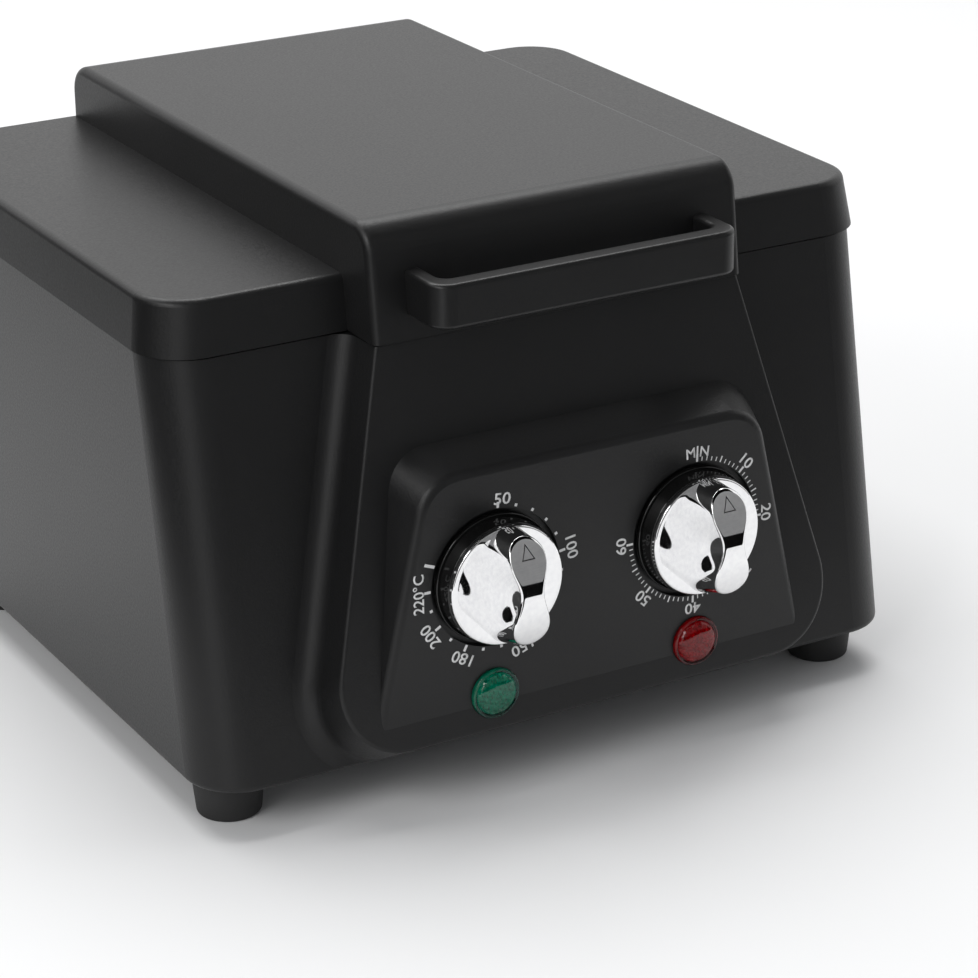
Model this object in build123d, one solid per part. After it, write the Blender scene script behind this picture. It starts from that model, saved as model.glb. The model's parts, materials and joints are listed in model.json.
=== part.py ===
from build123d import *
from math import cos, pi, radians, sin, sqrt, tan
import os

# Countertop dry heat sterilizer: a moulded box with a raised control panel, two knobs and
# two lamps at the front, and a hinged lid with a strap handle over a steel chamber.
# Millimetres. X is to the right, Y to the back, Z up. The origin is on the table, at the
# middle of the outline seen from above.

# Widths, built up from the dials to the sides
dial_spacing = 63.2
lamp_spacing = 64.6
pad_top_side = 20.6  # from the axis of a dial to the side of the pad at its top
pad_bottom_side = 36.1
panel_top_side = 4.45  # how much wider the panel is than the pad, each side
panel_bottom_side = 15.35
body_side = 28.95  # from the foot of the panel to the side of the housing
chamber_side = 28.0  # from the side of the housing to the chamber
band_side = 54.6  # from the side of the housing to the raised band of the lid
handle_side = 10.3  # from the side of the band to the handle
hinge_side = 50.0  # from the side of the housing to the middle of a hinge
inlet_side = 38.0

# Heights, built up from the table
base_height = 13.5  # underside of the housing
panel_rise = 8.1  # from there to the lower edge of the panel
pad_rise = 7.4  # from there to where the pad runs out
lamp_rise = 2.9  # from there to the lamps
dial_rise = 33.9  # from there to the dials
pad_top_rise = 31.8  # from there to the top of the pad
rim_rise = 32.4  # from there to the rim of the housing
lid_rise = 15.7  # from the rim to the flat sides of the lid
band_rise = 16.4  # from there to the top of the band
handle_rise = 13.2  # from the rim to the middle of the handle

# Depths
body_depth = 180.0  # front to back at the seam
chamber_front = 40.0  # from the front of the housing to the chamber
chamber_rear = 24.0

# Housing
body_corner = 15.5
base_edge = 1.6
wall = 3.0
deck = 3.0  # top of the housing round the chamber
front_lean = 10.3  # degrees that the front leans back from upright

# Front panel, a raised trapezoid
panel_stand = 14.9  # how far it stands out from the front
panel_corner = 20.0
panel_draft = 5.0
panel_under_draft = 19.3
panel_edge = 1.1
panel_foot = 6.0  # hollow rounding between panel and front

# Control pad, upright, so that it runs out into the leaning panel
pad_corner = 13.5
pad_draft = 19.0
pad_edge = 2.6

# Lamps
lens_diameter = 14.4
lens_stand = 3.0
lens_edge = 1.2
lens_barrel = 10.0
lens_barrel_length = 6.6
lens_seat = 0.9  # depth of the seat that the lens sits in
holder_diameter = 13.0
holder_length = 14.0

# Knobs
cap_diameter = 34.0
cap_rim = 1.5
cap_dish = 0.8
skirt_step = 1.3  # how far the skirt stands out round the cap
skirt_taper = 1.1
skirt_stand = 4.9  # front of the skirt in front of the pad
grip_stand = 20.0  # top of the crowned grip in front of the pad
grip_crown = 30.0  # radius of the crown along the grip
grip_crown_drop = 1.0  # the crown is highest this far below the axis
grip_foot_head = 6.2  # half width of the grip at its foot, at the head and at the tail
grip_foot_tail = 6.0
grip_lobe = 5.5  # half width of its face at the head and at the tail
grip_waist = 3.5
grip_tail_slope = 4.0  # how far the tail leans in from foot to face
shaft_diameter = 6.0
shaft_flat = 1.4
shaft_tail = 12.0
bush_diameter = 9.0

# Dial wells
well_gap = 1.5  # round the skirt
well_depth = 2.0
well_back = 2.4  # wall left behind the well

# Thermostat and timer
thermostat_width = 30.0
thermostat_height = 34.0
thermostat_depth = 22.0
timer_width = 38.0
timer_height = 40.0
timer_depth = 30.0

# Lid
seam_gap = 0.6
lid_overhang = 0.8
lid_draft = 8.2
lid_edge = 2.2
lid_wall = 2.8
band_stand = 16.2  # front of the band in front of the housing at the seam
band_lean = 7.4
band_round = 8.5
band_edge = 2.4

# Handle
handle_reach = 15.2  # front of the handle in front of the band at the seam
handle_root = 12.0  # how far its arms run back into the band before they are trimmed
handle_height = 12.3
handle_bar = 6.2
handle_arm = 4.8
handle_corner = 6.0
handle_inner_corner = 3.2
handle_edge = 1.2
handle_screw = 2.5
handle_screw_length = 9.0
handle_screw_head = 4.8
handle_screw_head_thickness = 1.6

# Hinge: each half is a lug on the lid between the ears of a bracket on the rear wall
hinge_back = 7.2  # pin behind the rear of the housing
hinge_radius = 4.6
hinge_pin = 4.0
hinge_lug = 14.0
hinge_ear = 5.0
bracket_plate = 1.6
bracket_drop = 20.0  # foot of the bracket below the pin
bracket_screw = 3.0
bracket_screw_head = 5.6

# Chamber and what is round it
chamber_depth = 62.0
chamber_corner = 14.0
chamber_bottom_edge = 4.0
steel = 0.8
flange = 7.0
shield_gap = 7.0
heater_thickness = 5.0
heater_side = 25.0
heater_corner = 6.0

# Tray
tray_clear = 2.5
tray_height = 24.0
tray_hole = 7.0
tray_pitch = 14.0
tray_border = 15.0  # bare floor round the holes
tray_tab_width = 44.0
tray_tab_height = 20.0
tray_tab_corner = 8.0

# Liner and seal of the lid
liner_inset = 0.5
liner_thickness = 1.0
liner_lift = 1.8  # underside of the liner above the rim of the housing
liner_corner = 10.0
liner_screw = 3.0
liner_screw_head = 5.6
liner_screw_inset = 10.0
seal_width = 4.0
liner_boss = 8.0

# Feet, bottom plate and screws
foot_bottom_diameter = 17.8
foot_top_diameter = 20.6
foot_side = 14.3  # from the side of the housing
foot_front = 20.0
plate_thickness = 2.0
plate_gap = 0.4
slot_width = 4.0
slot_length = 34.0
slot_pitch = 10.0
slot_row_gap = 20.4
slot_count = 9
screw_diameter = 4.0
screw_head = 7.0
screw_head_thickness = 2.4
boss_diameter = 9.6
boss_height = 22.0

# Mains inlet
inlet_drop = 12.4  # from the underside of the heat shield to the middle of the inlet
inlet_flange_width = 48.0
inlet_flange_height = 22.0
inlet_flange_thickness = 2.4
inlet_body_width = 28.0
inlet_body_height = 19.6
inlet_body_depth = 24.0
inlet_screw = 3.0
inlet_screw_head = 5.4
inlet_screw_side = 4.0
socket_width = 24.6
socket_height = 16.6
socket_depth = 17.0
pin_width = 4.0
pin_thickness = 2.0
pin_spread = 14.0
pin_drop = 2.0  # line and neutral lie this far below the middle, earth above it
pin_tail = 6.0

# Fits
fit_running = 0.05
fit_close = 0.1
fit_loose = 0.3

pad_top_width = dial_spacing + 2 * pad_top_side
pad_bottom_width = dial_spacing + 2 * pad_bottom_side
panel_top_width = pad_top_width + 2 * panel_top_side
panel_bottom_width = pad_bottom_width + 2 * panel_bottom_side
body_width = panel_bottom_width + 2 * body_side
band_width = body_width - 2 * band_side
handle_width = band_width - 2 * handle_side
hinge_spacing = body_width - 2 * hinge_side
inlet_x = inlet_side - body_width / 2

panel_bottom = base_height + panel_rise
pad_runout = panel_bottom + pad_rise
lamp_height = pad_runout + lamp_rise
dial_height = lamp_height + dial_rise
pad_top = dial_height + pad_top_rise
seam_height = pad_top + rim_rise
lid_flat = seam_height + lid_rise
band_height = lid_flat + band_rise
handle_centre = seam_height + handle_rise

inlet_height = seam_height - chamber_depth - shield_gap - heater_thickness - 2 * steel - inlet_drop

chamber_width = body_width - 2 * chamber_side
chamber_length = body_depth - chamber_front - chamber_rear
chamber_centre = (chamber_front - chamber_rear) / 2

skirt_front_diameter = cap_diameter + 2 * (skirt_step - skirt_taper)
skirt_diameter = cap_diameter + 2 * skirt_step
well_diameter = skirt_diameter + 2 * well_gap
grip_top = cap_diameter / 2

lean = radians(front_lean)
front_seam = -body_depth / 2
rear = body_depth / 2


def front_at(height, stand=0.0):
    return front_seam - stand - (seam_height - height) * tan(lean)


def flat_block(first, second):
    # A flat-sided solid between two outlines with matching corners
    outlines = [first, second]
    for i in range(len(first)):
        outlines.append([first[i - 1], first[i], second[i], second[i - 1]])
    return Solid(Shell([Face(Wire.make_polygon(corners)) for corners in outlines]))


def block(first, second, rounded, radius):
    # The same, with the edges that run from the corners in rounded rounded off
    solid = flat_block(first, second)
    middles = [(first[i] + second[i]) / 2 for i in rounded]
    edges = [e for e in solid.edges() if any((e.position_at(0.5) - m).length < 0.01 for m in middles)]
    return fillet(edges, radius)


def corners_on(plane, points):
    return [plane.from_local_coords(Vector(*p, 0)) for p in points]


# Housing: the leaning box, the panel and the pad are each drawn once, and drawn again
# smaller by the wall to hollow them.
def body_corners(height, inset):
    x = body_width / 2 - inset
    front = front_at(height) + inset / cos(lean)
    back = rear - inset
    return corners_on(Plane.XY.offset(height), [(-x, front), (x, front), (x, back), (-x, back)])


def body_block(low, high, inset):
    return block(body_corners(low, inset), body_corners(high, inset), range(4), body_corner - inset)


panel_length = (seam_height - panel_bottom) / cos(lean)
panel_slope = (panel_bottom_width - panel_top_width) / 2 / panel_length
panel_plane = Plane(
    origin=(0, front_at(seam_height, panel_stand), seam_height),
    x_dir=(1, 0, 0),
    z_dir=(0, -cos(lean), sin(lean)),
)


def panel_corners(back, inset, drop):
    top = back * tan(lean) - drop / cos(lean)
    bottom = inset - panel_length - back * tan(radians(panel_under_draft))
    spread = panel_top_width / 2 - inset + back * tan(radians(panel_draft))
    low = spread - bottom * panel_slope
    high = spread - top * panel_slope
    return corners_on(
        panel_plane.offset(-back), [(-low, bottom), (low, bottom), (high, top), (-high, top)]
    )


def panel_block(inset, drop):
    depth = panel_stand * cos(lean) + 2 * wall
    front = panel_corners(inset, inset, drop)
    return block(front, panel_corners(depth, inset, drop), [0, 1], panel_corner - inset)


pad_y = front_at(pad_runout, panel_stand)
pad_plane = Plane(origin=(0, pad_y, 0), x_dir=(1, 0, 0), z_dir=(0, -1, 0))
pad_slope = (pad_bottom_width - pad_top_width) / 2 / (pad_top - pad_runout)


def pad_corners(back, inset):
    grow = (back - inset) * tan(radians(pad_draft)) - inset
    bottom = panel_bottom + wall
    top = pad_top + grow
    high = pad_top_width / 2 + grow - pad_slope * grow
    low = high + pad_slope * (top - bottom)
    return corners_on(pad_plane.offset(-back), [(-low, bottom), (low, bottom), (high, top), (-high, top)])


def pad_block(inset):
    front = pad_corners(inset, inset)
    return block(front, pad_corners(panel_stand + wall, inset), [2, 3], pad_corner - inset)


body_solid = body_block(base_height, seam_height, 0)
body_solid = fillet(body_solid.faces().sort_by(Axis.Z)[0].edges(), base_edge)
panel_solid = panel_block(0, 0)
panel_front = panel_solid.faces().filter_by(panel_plane).sort_by(Axis.Y)[0]
panel_solid = fillet(panel_front.edges().sort_by(Axis.Z)[:-1], panel_edge)
pad_solid = pad_block(0)
pad_solid = fillet(pad_solid.faces().sort_by(Axis.Y)[0].edges(), pad_edge)


def above(height):
    # Everything over this height
    return Pos(0, 0, height) * Box(
        2 * body_width, 4 * body_depth, seam_height, align=(Align.CENTER, Align.CENTER, Align.MIN)
    )


def slab_corners(height):
    x = body_width / 2 - body_corner - base_edge
    y = front_at(height)
    return corners_on(Plane.XY.offset(height), [(-x, y), (x, y), (x, y + wall), (-x, y + wall)])


def is_foot(edge):
    on_front = all(abs(p.Y - front_at(p.Z)) < 0.01 for p in [edge.position_at(t) for t in (0, 0.5, 1)])
    inside = abs(edge.center().X) < body_width / 2 - body_corner - 2 * base_edge
    return on_front and inside and base_height - panel_corner < edge.center().Z < seam_height - 1


# The panel grows out of the front with a hollow rounding all along its foot
front_slab = flat_block(slab_corners(base_height - 2 * panel_corner), slab_corners(seam_height))
footed = front_slab + panel_solid
footed = fillet(footed.edges().filter_by(is_foot), panel_foot)
shell = body_solid + (footed & above(base_height + base_edge)) + (panel_solid & above(base_height))
shell += pad_solid

hollow = body_block(base_height - 1, seam_height - deck, wall)
hollow += panel_block(wall, deck)
hollow += pad_block(wall)
housing = shell - hollow

# Opening for the chamber, with a rebate that its flange lies in
chamber_outer_width = chamber_width + 2 * steel
chamber_outer_length = chamber_length + 2 * steel
chamber_place = Pos(0, chamber_centre, 0)


def chamber_plan(grow, height):
    outline = RectangleRounded(
        chamber_width + 2 * grow, chamber_length + 2 * grow, chamber_corner + grow
    )
    return Pos(0, chamber_centre, height) * outline


housing -= extrude(chamber_plan(steel + fit_loose, seam_height - 2 * deck), 3 * deck)
housing -= extrude(chamber_plan(steel + flange + fit_loose, seam_height - steel), deck)

# Dial wells and lamp seats
dial_places = [-dial_spacing / 2, dial_spacing / 2]
lamp_places = [-lamp_spacing / 2, lamp_spacing / 2]


def front_disc(x, height, diameter, start, length):
    spot = Pos(x, height, start) * Circle(diameter / 2)
    return extrude(pad_plane * spot, length, dir=(0, -1, 0))


for x in dial_places:
    backing = well_depth + well_back
    housing += front_disc(x, dial_height, well_diameter + 2 * well_back, -backing, well_back + pad_edge / 2)
for x in dial_places:
    housing -= front_disc(x, dial_height, well_diameter, -well_depth, 2 * well_depth)
    housing -= front_disc(x, dial_height, bush_diameter + 2 * fit_close, -3 * wall, 3 * wall)
for x in lamp_places:
    housing -= front_disc(x, lamp_height, lens_diameter + 2 * fit_close, -lens_seat, 4)
    housing -= front_disc(x, lamp_height, lens_barrel + 2 * fit_close, -4 * wall, 4 * wall)

# Bosses for the bottom plate, each tied to the side wall
foot_x = body_width / 2 - foot_side
foot_places = [
    ("front_left", -foot_x, front_at(base_height) + foot_front),
    ("front_right", foot_x, front_at(base_height) + foot_front),
    ("rear_left", -foot_x, rear - foot_front),
    ("rear_right", foot_x, rear - foot_front),
]
plate_top = base_height + plate_thickness
for name, x, y in foot_places:
    side = 1 if x > 0 else -1
    boss = Pos(x, y, plate_top) * extrude(Circle(boss_diameter / 2), boss_height)
    web_length = foot_side - wall / 2
    web = Pos(x + side * web_length / 2, y, plate_top + boss_height / 2) * Box(
        web_length, wall * 0.8, boss_height
    )
    housing += boss + web
for name, x, y in foot_places:
    housing -= Pos(x, y, plate_top - 1) * extrude(
        Circle(screw_diameter / 2 + fit_close), boss_height * 0.7
    )

# Hinge
hinge_y = rear + hinge_back
hinge_z = seam_height + seam_gap / 2
hinge_places = [("left", -hinge_spacing / 2), ("right", hinge_spacing / 2)]


def hinge_profile(x, foot_high, foot_low, wall_y):
    ring = Pos(hinge_y, hinge_z) * Circle(hinge_radius)
    root = Line((wall_y, foot_high), (wall_y, foot_low))
    side_plane = Plane(origin=(x, 0, 0), x_dir=(0, 1, 0), z_dir=(1, 0, 0))
    return side_plane * make_hull(ring.edges() + root.edges())


def hinge_plate(x, thickness, foot_high, foot_low, wall_y):
    return extrude(hinge_profile(x, foot_high, foot_low, wall_y), thickness / 2, both=True)


def hinge_hole(x, length, diameter):
    hole = Pos(x, hinge_y, hinge_z) * Rot(0, 90, 0) * Cylinder(diameter / 2, length)
    return hole


# Cut-out for the mains inlet and its two screws
rear_plane = Plane(origin=(0, rear, 0), x_dir=(-1, 0, 0), z_dir=(0, 1, 0))


def rear_box(x, height, width, tall, start, length, corner):
    outline = Pos(-x, height, start) * RectangleRounded(width, tall, corner)
    return extrude(rear_plane * outline, length, dir=(0, 1, 0))


def rear_disc(x, height, diameter, start, length):
    return extrude(rear_plane * (Pos(-x, height, start) * Circle(diameter / 2)), length, dir=(0, 1, 0))


inlet_screw_spread = inlet_flange_width - 2 * inlet_screw_side
inlet_screw_places = [("left", inlet_x - inlet_screw_spread / 2), ("right", inlet_x + inlet_screw_spread / 2)]
housing -= rear_box(
    inlet_x, inlet_height, inlet_body_width + 2 * fit_close, inlet_body_height + 2 * fit_close,
    -2 * wall, 4 * wall, 2,
)
for name, x in inlet_screw_places:
    housing -= rear_disc(x, inlet_height, inlet_screw + 2 * fit_close, -2 * wall, 4 * wall)

# Hinge brackets on the rear wall: a plate with two ears, held by two screws between them
bracket_width = hinge_lug + 2 * (fit_loose + hinge_ear)
bracket_top = seam_height - seam_gap
bracket_height = bracket_top - hinge_z + bracket_drop
bracket_middle = bracket_top - bracket_height / 2
brackets = []
bracket_screws = []
for name, x in hinge_places:
    bracket = rear_box(x, bracket_middle, bracket_width, bracket_height, 0, bracket_plate, bracket_plate / 2)
    for side in (-1, 1):
        ear_x = x + side * (bracket_width - hinge_ear) / 2
        bracket += hinge_plate(
            ear_x, hinge_ear, bracket_top - hinge_radius, hinge_z - bracket_drop + 1, rear + bracket_plate / 2
        )
    bracket -= hinge_hole(x, 2 * bracket_width, hinge_pin + 2 * 0.02)
    for end, height in (("upper", hinge_z - bracket_drop * 0.45), ("lower", hinge_z - bracket_drop * 0.8)):
        hole_width = bracket_screw + 2 * fit_close
        housing -= rear_disc(x, height, hole_width, -2 * wall, 4 * wall)
        bracket -= rear_disc(x, height, hole_width, -1, 2 * bracket_plate)
        screw = rear_disc(x, height, bracket_screw, -2 * wall, 2 * wall + bracket_plate)
        screw += rear_disc(x, height, bracket_screw_head, bracket_plate, bracket_screw / 2)
        bracket_screws.append(("bracket_screw_" + name + "_" + end, screw))
    brackets.append(("hinge_bracket_" + name, bracket))

# Chamber: a drawn tank with a flange
tank_outer = extrude(chamber_plan(steel, seam_height - chamber_depth - steel), chamber_depth + steel)
tank_outer = fillet(tank_outer.faces().sort_by(Axis.Z)[0].edges(), chamber_bottom_edge + steel)
tank_flange = extrude(chamber_plan(steel + flange, seam_height - steel), steel)
tank_inner = extrude(chamber_plan(0, seam_height - chamber_depth), chamber_depth + 5)
tank_inner = fillet(tank_inner.faces().sort_by(Axis.Z)[0].edges(), chamber_bottom_edge)
chamber = tank_outer + tank_flange - tank_inner
chamber_floor = seam_height - chamber_depth

# Heat shield round the tank, hung under the deck, and the heater under its floor
shield_floor = chamber_floor - steel - heater_thickness - shield_gap
shield_plan = chamber_plan(steel + shield_gap + steel, shield_floor - steel)
shield = extrude(shield_plan, seam_height - deck - shield_floor + steel)
shield -= extrude(chamber_plan(steel + shield_gap, shield_floor), seam_height)
heater_plan = Pos(0, chamber_centre, chamber_floor - steel - heater_thickness) * RectangleRounded(
    chamber_width - 2 * heater_side, chamber_length - 2 * heater_side, heater_corner
)
heater = extrude(heater_plan, heater_thickness)

# Tray: perforated, with a lifting tab at each end
tray_width = chamber_width - 2 * tray_clear
tray_length = chamber_length - 2 * tray_clear
tray_floor = chamber_floor + fit_close


def tray_plan(inset, height):
    corner = chamber_corner - tray_clear - inset
    outline = RectangleRounded(tray_width - 2 * inset, tray_length - 2 * inset, corner)
    return Pos(0, chamber_centre, height) * outline


tray = extrude(tray_plan(0, tray_floor), tray_height)
tray = fillet(tray.faces().sort_by(Axis.Z)[0].edges(), chamber_bottom_edge)
tray_hollow = extrude(tray_plan(steel, tray_floor + steel), tray_height)
tray_hollow = fillet(tray_hollow.faces().sort_by(Axis.Z)[0].edges(), chamber_bottom_edge - steel)
tray -= tray_hollow
for side in (-1, 1):
    tab_x = side * (tray_width / 2 - steel / 2)
    tab_foot = (tab_x, chamber_centre, tray_floor + tray_height)
    tab_plane = Plane(origin=tab_foot, x_dir=(0, 1, 0), z_dir=(1, 0, 0))
    tab = RectangleRounded(tray_tab_width, 2 * tray_tab_height, tray_tab_corner)
    grip_hole = Pos(0, tray_tab_height * 0.58) * SlotOverall(tray_tab_width * 0.6, tray_tab_height * 0.4)
    overlap = tray_height / 6
    middle = (tray_tab_height - overlap) / 2
    tab_face = tab & Pos(0, middle) * Rectangle(tray_tab_width, tray_tab_height + overlap)
    tab_face -= grip_hole
    tray += extrude(tab_plane * tab_face, steel / 2, both=True)
tray_columns = int((tray_width - 2 * tray_border) / tray_pitch) + 1
tray_rows = int((tray_length - 2 * tray_border) / tray_pitch) + 1
holes = GridLocations(tray_pitch, tray_pitch, tray_columns, tray_rows)
hole_pattern = Sketch() + holes * Circle(tray_hole / 2)
tray -= Pos(0, chamber_centre, tray_floor - 1) * extrude(hole_pattern, steel + 2)


# Lid: flat sides with draft, and the raised band over the middle
lid_bottom = seam_height + seam_gap
lid_tan = tan(radians(lid_draft))


def lid_corners(height, inset):
    shrink = (height - lid_bottom) * lid_tan - lid_overhang + inset
    x = body_width / 2 - shrink
    y = body_depth / 2 - shrink
    return corners_on(Plane.XY.offset(height), [(-x, -y), (x, -y), (x, y), (-x, y)])


def lid_block(low, high, inset):
    return block(lid_corners(low, inset), lid_corners(high, inset), range(4), body_corner - inset)


def band_block(inset):
    front = front_seam - band_stand + inset
    top = band_height - inset
    run = (top - lid_bottom) * tan(radians(band_lean))
    back = rear + lid_overhang - (lid_flat - lid_bottom) * lid_tan - inset
    side_plane = Plane(origin=(0, 0, 0), x_dir=(0, 1, 0), z_dir=(1, 0, 0))
    corners = [(front, lid_bottom), (front + run, top), (back, top), (back, lid_bottom)]
    face = make_face(Polyline(*corners, close=True))
    upper = face.vertices().sort_by(Axis.Y)[-2:]
    face = fillet(upper, band_round - inset)
    return extrude(side_plane * face, band_width / 2 - inset, both=True)


lid_solid = lid_block(lid_bottom, lid_flat, 0)
lid_solid = fillet(lid_solid.faces().sort_by(Axis.Z)[-1].edges(), lid_edge)
band_solid = band_block(0)
band_sides = band_solid.faces().filter_by(Axis.X)
band_rims = [e for f in band_sides for e in f.edges() if e.center().Z > lid_bottom + 1]
band_solid = fillet(band_rims, band_edge)
lid = lid_solid + band_solid
lid -= lid_block(lid_bottom - 1, lid_flat - lid_wall, lid_wall)
lid -= band_block(lid_wall) & above(lid_bottom)

# Liner plate of the lid, on bosses
liner_bottom = seam_height + liner_lift
liner_top = liner_bottom + liner_thickness
liner_shrink = lid_wall + liner_inset + liner_thickness - lid_overhang
liner_width = body_width - 2 * liner_shrink
liner_length = body_depth - 2 * liner_shrink
liner_x = liner_width / 2 - liner_screw_inset
liner_y = liner_length / 2 - liner_screw_inset
liner_places = [("front_left", -liner_x, -liner_y), ("front_right", liner_x, -liner_y),
                ("rear_left", -liner_x, liner_y), ("rear_right", liner_x, liner_y)]
for name, x, y in liner_places:
    lid += Pos(x, y, liner_top) * extrude(Circle(liner_boss / 2), lid_flat - lid_wall / 2 - liner_top)
    lid -= Pos(x, y, liner_top - 1) * extrude(Circle(liner_screw / 2 + fit_close), lid_rise / 2)
liner = Pos(0, 0, liner_bottom) * extrude(
    RectangleRounded(liner_width, liner_length, liner_corner), liner_thickness
)
for name, x, y in liner_places:
    liner -= Pos(x, y, liner_bottom - 1) * extrude(Circle(liner_screw / 2 + fit_close), liner_thickness + 2)
seal_bottom = seam_height + fit_loose
seal_grow = steel + flange - 1
seal_ring = chamber_plan(seal_grow, seal_bottom) - chamber_plan(seal_grow - seal_width, seal_bottom)
seal = extrude(seal_ring, liner_bottom - seal_bottom)

# Lugs of the lid round the hinge pins
for name, x in hinge_places:
    lid += hinge_plate(
        x, hinge_lug, lid_bottom + 3 * hinge_radius - 1.2, lid_bottom + hinge_radius,
        rear + lid_overhang - lid_wall,
    )
for name, x in hinge_places:
    lid -= hinge_hole(x, hinge_lug + 2, hinge_pin + 2 * fit_running)

# Handle: a strap bent forward from the band
handle_front = front_seam - band_stand - handle_reach
handle_rear = front_seam - band_stand + handle_root
handle_depth = handle_rear - handle_front
strap = Pos(0, (handle_front + handle_rear) / 2) * Rectangle(handle_width, handle_depth)
strap = fillet(strap.vertices().sort_by(Axis.Y)[:2], handle_corner)
inner_front = handle_front + handle_bar
gap_outline = Pos(0, (inner_front + handle_rear) / 2 + 1) * Rectangle(
    handle_width - 2 * handle_arm, handle_rear - inner_front + 2
)
gap_outline = fillet(gap_outline.vertices().sort_by(Axis.Y)[:2], handle_inner_corner)
handle = Pos(0, 0, handle_centre - handle_height / 2) * extrude(strap - gap_outline, handle_height)
handle_rims = handle.faces().sort_by(Axis.Z)[-1].edges() + handle.faces().sort_by(Axis.Z)[0].edges()
handle = fillet(handle_rims, handle_edge)
handle -= band_block(0)

# Two screws hold the handle from inside the band
handle_screws = []
band_face = front_seam - band_stand + (handle_centre - lid_bottom) * tan(radians(band_lean))
for name, x in (("left", -handle_width / 2 + handle_arm / 2), ("right", handle_width / 2 - handle_arm / 2)):
    bore = Pos(x, band_face, handle_centre) * Rot(90, 0, 0)
    lid -= bore * Cylinder(handle_screw / 2 + fit_close, 4 * lid_wall)
    handle -= bore * Cylinder(handle_screw / 2 + fit_close, 1.6 * handle_screw_length)
    shank_start = band_face + lid_wall / cos(radians(band_lean))
    shank_start += handle_screw_head / 2 * tan(radians(band_lean))
    shank = Pos(x, shank_start, handle_centre) * Rot(90, 0, 0) * Cylinder(
        handle_screw / 2, handle_screw_length, align=(Align.CENTER, Align.CENTER, Align.MIN)
    )
    head = Pos(x, shank_start + handle_screw_head_thickness, handle_centre) * Rot(90, 0, 0) * Cylinder(
        handle_screw_head / 2, handle_screw_head_thickness, align=(Align.CENTER, Align.CENTER, Align.MIN)
    )
    handle_screws.append(("handle_screw_" + name, shank + head))

# Knobs. Each is drawn about its own axis, which points out of the pad.
knob_back = -well_depth + fit_loose
seat = skirt_stand - 2.0


def d_bore(grow, start, length):
    round_bar = Pos(0, 0, start) * extrude(Circle(shaft_diameter / 2 + grow), length)
    flat_low = shaft_diameter / 2 - shaft_flat + grow
    flat = Pos(0, flat_low + shaft_diameter / 2, start + length / 2) * Box(
        2 * shaft_diameter, shaft_diameter, length
    )
    return round_bar - flat


def grip_outline(head, waist, tail, tail_end, height):
    head_y = grip_top - head
    tail_y = tail - tail_end
    middle = (head_y + tail_y) / 2
    up = ThreePointArc((-head, head_y), (0, grip_top), (head, head_y))
    down = ThreePointArc((tail, tail_y), (0, -tail_end), (-tail, tail_y))
    if waist < min(head, tail):
        right = ThreePointArc((head, head_y), (waist, middle), (tail, tail_y))
        left = ThreePointArc((-tail, tail_y), (-waist, middle), (-head, head_y))
    else:
        right = Line((head, head_y), (tail, tail_y))
        left = Line((-tail, tail_y), (-head, head_y))
    return Pos(0, 0, height) * make_face(up + right + down + left)


def knob_cap():
    rim = cap_diameter / 2
    points = [(0, seat), (rim - 1.2, seat), (rim - 1.2, skirt_stand), (rim, skirt_stand),
              (rim, skirt_stand + cap_rim * 0.6), (rim - 1.3, skirt_stand + cap_rim),
              (rim - 5, skirt_stand + cap_rim - cap_dish * 0.7), (0, skirt_stand + cap_rim - cap_dish)]
    section = make_face(Plane.XZ * Polyline(*points, close=True))
    disc = revolve(section, Axis.Z)
    base = grip_outline(grip_foot_head, grip_foot_head, grip_foot_tail, grip_top, skirt_stand)
    face = grip_outline(grip_lobe, grip_waist, grip_lobe, grip_top - grip_tail_slope, grip_stand)
    crown = Pos(0, -grip_crown_drop, grip_stand - grip_crown) * Rot(0, 90, 0) * Cylinder(
        grip_crown, 2 * cap_diameter
    )
    grip = loft([base, face], ruled=True) & crown
    return disc + grip


def knob_skirt():
    outer = skirt_diameter / 2
    front = skirt_front_diameter / 2
    points = [(0, knob_back), (outer, knob_back), (outer, knob_back + 1.6), (front, skirt_stand - fit_close),
              (cap_diameter / 2 - 1.1, skirt_stand - fit_close), (cap_diameter / 2 - 1.1, seat), (0, seat)]
    return revolve(make_face(Plane.XZ * Polyline(*points, close=True)), Axis.Z)


shaft_front = skirt_stand + 4
shaft_back = -well_depth - well_back - shaft_tail
cap = knob_cap() - d_bore(fit_close, seat - 1, shaft_front - seat + 1.2)
skirt = knob_skirt() - d_bore(fit_close, knob_back - 1, seat - knob_back + 2)
shaft_round = Pos(0, 0, shaft_back) * extrude(Circle(shaft_diameter / 2), knob_back - shaft_back)
shaft = shaft_round + d_bore(0, knob_back, shaft_front - knob_back)


def at_dial(x, piece):
    return pad_plane * Pos(x, dial_height, 0) * piece


# Thermostat and timer behind the pad, each with a bush through it
control_back = well_depth + well_back


def control(width, tall, depth):
    case = Pos(0, 0, -control_back - depth) * extrude(RectangleRounded(width, tall, 2), depth)
    bush = Pos(0, 0, -control_back - 1) * extrude(Circle(bush_diameter / 2), control_back + 1 - well_depth)
    bore = Pos(0, 0, shaft_back - fit_loose) * extrude(
        Circle(shaft_diameter / 2 + fit_running), -shaft_back + fit_loose
    )
    return case + bush - bore


thermostat = at_dial(dial_places[0], control(thermostat_width, thermostat_height, thermostat_depth))
timer = at_dial(dial_places[1], control(timer_width, timer_height, timer_depth))


# Lamps
def lens(x):
    cup = front_disc(x, lamp_height, lens_diameter, -lens_seat, lens_seat + lens_stand)
    cup = fillet(cup.faces().sort_by(Axis.Y)[0].edges(), lens_edge)
    barrel = front_disc(x, lamp_height, lens_barrel, -lens_seat - lens_barrel_length, lens_barrel_length)
    return cup + barrel


def lamp_holder(x):
    back = -lens_seat - lens_barrel_length - holder_length
    return front_disc(x, lamp_height, holder_diameter, back, holder_length)


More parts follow.
